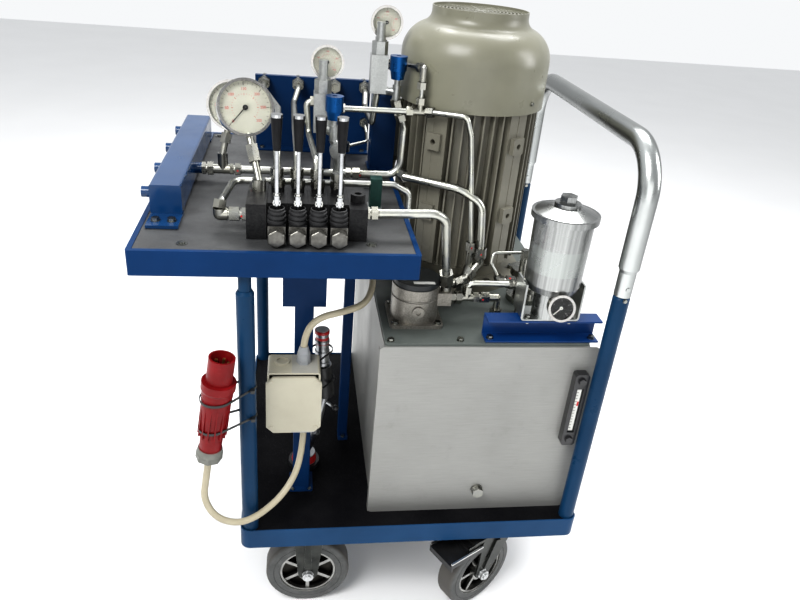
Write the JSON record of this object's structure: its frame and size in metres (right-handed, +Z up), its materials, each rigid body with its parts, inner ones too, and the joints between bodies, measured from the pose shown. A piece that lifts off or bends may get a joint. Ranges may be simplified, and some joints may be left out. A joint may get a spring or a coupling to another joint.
{
  "type": "hydraulic power unit",
  "caption": "Electric hydraulic power unit with oil tank, filters, lever valve bank and pressure gauges on a four-wheeled platform trolley with a push handle.",
  "frame": {"origin": "on the floor under the middle of the trolley's outline", "axes": "+X towards the push handle, +Y from the lever side to the back, +Z up"},
  "size_m": [0.975, 0.8315, 1.362],
  "materials": {
    "platform_frame": "satin powder coat",
    "deck_board": "textured anti-slip",
    "uprights": "satin powder coat",
    "push_handle": "galvanised",
    "caster_mounts": "zinc plated",
    "tray_frame": "satin powder coat",
    "tray_mat": "matte",
    "tray_legs": "satin powder coat",
    "collector_header": "satin powder coat",
    "valve_supports": "satin powder coat",
    "valve_block": "oiled casting",
    "lever_boots": "matte",
    "tank_body": "brushed",
    "tank_lid": "satin",
    "motor_housing": "satin enamel",
    "motor_fan_cowl": "satin enamel",
    "motor_terminal_box": "satin enamel",
    "pump_housing": "cast",
    "return_filter": "cast",
    "offline_filter": "turned and brushed",
    "filter_mount": "satin powder coat",
    "filter_elements": "pleated",
    "level_gauge": "satin",
    "pressure_blocks": "zinc plated",
    "gauge_cases": "polished",
    "gauge_lenses": "clear",
    "junction_box": "satin",
    "supply_cable": "satin",
    "cee_plug": "satin",
    "motor_cable": "satin",
    "straps_and_clamp": "satin",
    "stowed_pump": "galvanised",
    "steel_pipes": "zinc plated",
    "pipe_fittings": "zinc plated",
    "fasteners": "zinc plated",
    "front_fixed_wheel": "grey elastic tyre on an aluminium centre",
    "rear_fixed_wheel": "grey elastic tyre on an aluminium centre",
    "front_swivel_fork": "zinc plated",
    "front_swivel_wheel": "grey elastic tyre on an aluminium centre",
    "front_brake_pedal": "matte",
    "rear_swivel_fork": "zinc plated",
    "rear_swivel_wheel": "grey elastic tyre on an aluminium centre",
    "rear_brake_pedal": "matte",
    "valve_spool_1": "ground",
    "valve_lever_1": "polished rod with black grip",
    "valve_spool_2": "ground",
    "valve_lever_2": "polished rod with black grip",
    "valve_spool_3": "ground",
    "valve_lever_3": "polished rod with black grip",
    "valve_spool_4": "ground",
    "valve_lever_4": "polished rod with black grip",
    "left_adjusting_knob": "blue anodised",
    "right_adjusting_knob": "blue anodised",
    "main_pointer": "matte",
    "system_pointer": "matte",
    "left_valve_pointer": "matte",
    "right_valve_pointer": "matte",
    "filter_pointer": "matte",
    "motor_rotor": "turned",
    "pump_driven_gear": "ground"
  },
  "bodies": {
    "chassis": {"platform_frame": "platform_frame", "deck_board": "deck_board", "uprights": "uprights", "push_handle": "push_handle", "caster_mounts": "caster_mounts", "tray_frame": "tray_frame", "tray_mat": "tray_mat", "tray_legs": "tray_legs", "collector_header": "collector_header", "valve_supports": "valve_supports", "valve_block": "valve_block", "lever_boots": "lever_boots", "tank_body": "tank_body", "tank_lid": "tank_lid", "motor_housing": "motor_housing", "motor_fan_cowl": "motor_fan_cowl", "motor_terminal_box": "motor_terminal_box", "pump_housing": "pump_housing", "return_filter": "return_filter", "offline_filter": "offline_filter", "filter_mount": "filter_mount", "filter_elements": "filter_elements", "level_gauge": "level_gauge", "pressure_blocks": "pressure_blocks", "gauge_cases": "gauge_cases", "gauge_lenses": "gauge_lenses", "junction_box": "junction_box", "supply_cable": "supply_cable", "cee_plug": "cee_plug", "motor_cable": "motor_cable", "straps_and_clamp": "straps_and_clamp", "stowed_pump": "stowed_pump", "steel_pipes": "steel_pipes", "pipe_fittings": "pipe_fittings", "fasteners": "fasteners"},
    "front_fixed_wheel": {"front_fixed_wheel": "front_fixed_wheel"},
    "rear_fixed_wheel": {"rear_fixed_wheel": "rear_fixed_wheel"},
    "front_swivel_fork": {"front_swivel_fork": "front_swivel_fork"},
    "front_swivel_wheel": {"front_swivel_wheel": "front_swivel_wheel"},
    "front_brake_pedal": {"front_brake_pedal": "front_brake_pedal"},
    "rear_swivel_fork": {"rear_swivel_fork": "rear_swivel_fork"},
    "rear_swivel_wheel": {"rear_swivel_wheel": "rear_swivel_wheel"},
    "rear_brake_pedal": {"rear_brake_pedal": "rear_brake_pedal"},
    "valve_spool_1": {"valve_spool_1": "valve_spool_1"},
    "valve_lever_1": {"valve_lever_1": "valve_lever_1"},
    "valve_spool_2": {"valve_spool_2": "valve_spool_2"},
    "valve_lever_2": {"valve_lever_2": "valve_lever_2"},
    "valve_spool_3": {"valve_spool_3": "valve_spool_3"},
    "valve_lever_3": {"valve_lever_3": "valve_lever_3"},
    "valve_spool_4": {"valve_spool_4": "valve_spool_4"},
    "valve_lever_4": {"valve_lever_4": "valve_lever_4"},
    "left_adjusting_knob": {"left_adjusting_knob": "left_adjusting_knob"},
    "right_adjusting_knob": {"right_adjusting_knob": "right_adjusting_knob"},
    "main_pointer": {"main_pointer": "main_pointer"},
    "system_pointer": {"system_pointer": "system_pointer"},
    "left_valve_pointer": {"left_valve_pointer": "left_valve_pointer"},
    "right_valve_pointer": {"right_valve_pointer": "right_valve_pointer"},
    "filter_pointer": {"filter_pointer": "filter_pointer"},
    "motor_rotor": {"motor_rotor": "motor_rotor"},
    "pump_driven_gear": {"pump_driven_gear": "pump_driven_gear"}
  },
  "joints": [
    {"name": "front_fixed_wheel_spin", "type": "hinge", "parent": "chassis", "child": "front_fixed_wheel", "pos_m": [-0.1485, -0.2945, 0.1], "axis": [0, 1, 0], "continuous": true},
    {"name": "rear_fixed_wheel_spin", "type": "hinge", "parent": "chassis", "child": "rear_fixed_wheel", "pos_m": [-0.1485, 0.3055, 0.1], "axis": [0, 1, 0], "continuous": true},
    {"name": "front_fork_swivel", "type": "hinge", "parent": "chassis", "child": "front_swivel_fork", "pos_m": [0.3095, -0.2945, 0.2], "axis": [0, 0, 1], "continuous": true},
    {"name": "front_swivel_wheel_spin", "type": "hinge", "parent": "front_swivel_fork", "child": "front_swivel_wheel", "pos_m": [0.2662, -0.3195, 0.1], "axis": [-0.5, 0.866, 0], "continuous": true},
    {"name": "front_brake_pedal_press", "type": "hinge", "parent": "front_swivel_fork", "child": "front_brake_pedal", "pos_m": [0.21943, -0.3465, 0.2], "axis": [-0.5, 0.866, 0], "range_deg": [0, 4]},
    {"name": "rear_fork_swivel", "type": "hinge", "parent": "chassis", "child": "rear_swivel_fork", "pos_m": [0.3095, 0.3055, 0.2], "axis": [0, 0, 1], "continuous": true},
    {"name": "rear_swivel_wheel_spin", "type": "hinge", "parent": "rear_swivel_fork", "child": "rear_swivel_wheel", "pos_m": [0.26099, 0.3176, 0.1], "axis": [0.2419, 0.9703, 0], "continuous": true},
    {"name": "rear_brake_pedal_press", "type": "hinge", "parent": "rear_swivel_fork", "child": "rear_brake_pedal", "pos_m": [0.20859, 0.33066, 0.2], "axis": [0.2419, 0.9703, 0], "range_deg": [0, 4]},
    {"name": "valve_lever_1_tilt", "type": "hinge", "parent": "chassis", "child": "valve_lever_1", "pos_m": [-0.2225, -0.3045, 1.012], "axis": [1, 0, 0], "range_deg": [-16, 16], "stiffness_Nm_per_rad": 2},
    {"name": "valve_spool_1_slide", "type": "slide", "parent": "chassis", "child": "valve_spool_1", "axis": [0, 1, 0], "range_m": [-0.0075, 0.0075]},
    {"name": "valve_lever_2_tilt", "type": "hinge", "parent": "chassis", "child": "valve_lever_2", "pos_m": [-0.1845, -0.3045, 1.012], "axis": [1, 0, 0], "range_deg": [-16, 16], "stiffness_Nm_per_rad": 2},
    {"name": "valve_spool_2_slide", "type": "slide", "parent": "chassis", "child": "valve_spool_2", "axis": [0, 1, 0], "range_m": [-0.0075, 0.0075]},
    {"name": "valve_lever_3_tilt", "type": "hinge", "parent": "chassis", "child": "valve_lever_3", "pos_m": [-0.1465, -0.3045, 1.012], "axis": [1, 0, 0], "range_deg": [-16, 16], "stiffness_Nm_per_rad": 2},
    {"name": "valve_spool_3_slide", "type": "slide", "parent": "chassis", "child": "valve_spool_3", "axis": [0, 1, 0], "range_m": [-0.0075, 0.0075]},
    {"name": "valve_lever_4_tilt", "type": "hinge", "parent": "chassis", "child": "valve_lever_4", "pos_m": [-0.1085, -0.3045, 1.012], "axis": [1, 0, 0], "range_deg": [-16, 16], "stiffness_Nm_per_rad": 2},
    {"name": "valve_spool_4_slide", "type": "slide", "parent": "chassis", "child": "valve_spool_4", "axis": [0, 1, 0], "range_m": [-0.0075, 0.0075]},
    {"name": "left_adjusting_knob_turn", "type": "hinge", "parent": "chassis", "child": "left_adjusting_knob", "pos_m": [-0.1125, -0.0835, 1.146], "axis": [0, 0, 1], "range_deg": [0, 720]},
    {"name": "right_adjusting_knob_turn", "type": "hinge", "parent": "chassis", "child": "right_adjusting_knob", "pos_m": [0.0245, 0.0095, 1.216], "axis": [0, 0, 1], "range_deg": [0, 720]},
    {"name": "main_pointer_turn", "type": "hinge", "parent": "chassis", "child": "main_pointer", "pos_m": [-0.2825, -0.1745, 1.184], "axis": [0.2447, -0.9133, 0.3256], "range_deg": [-270, 0]},
    {"name": "system_pointer_turn", "type": "hinge", "parent": "chassis", "child": "system_pointer", "pos_m": [-0.3245, 0.0195, 1.14], "axis": [0, -0.9848, 0.1736], "range_deg": [-270, 0]},
    {"name": "left_valve_pointer_turn", "type": "hinge", "parent": "chassis", "child": "left_valve_pointer", "pos_m": [-0.1265, -0.0225, 1.247], "axis": [0, -0.9976, 0.0698], "range_deg": [-270, 0]},
    {"name": "right_valve_pointer_turn", "type": "hinge", "parent": "chassis", "child": "right_valve_pointer", "pos_m": [-0.0005, 0.0495, 1.323], "axis": [0, -0.9976, 0.0698], "range_deg": [-270, 0]},
    {"name": "filter_pointer_turn", "type": "hinge", "parent": "chassis", "child": "filter_pointer", "pos_m": [0.3425, -0.3485, 0.855], "axis": [-0.1014, -0.965, 0.2419], "range_deg": [-270, 0]},
    {"name": "motor_rotor_spin", "type": "hinge", "parent": "chassis", "child": "motor_rotor", "pos_m": [0.2075, 0.0885, 1], "axis": [0, 0, 1], "continuous": true},
    {"name": "pump_driven_gear_spin", "type": "hinge", "parent": "chassis", "child": "pump_driven_gear", "pos_m": [0.2075, 0.1248, 0.58], "axis": [0, 0, 1], "continuous": true}
  ],
  "couplings": [
    {"joint": "valve_spool_1_slide", "follows": "valve_lever_1_tilt", "m_per_rad": 0.022},
    {"joint": "valve_spool_2_slide", "follows": "valve_lever_2_tilt", "m_per_rad": 0.022},
    {"joint": "valve_spool_3_slide", "follows": "valve_lever_3_tilt", "m_per_rad": 0.022},
    {"joint": "valve_spool_4_slide", "follows": "valve_lever_4_tilt", "m_per_rad": 0.022},
    {"joint": "pump_driven_gear_spin", "follows": "motor_rotor_spin", "ratio": -1}
  ]
}
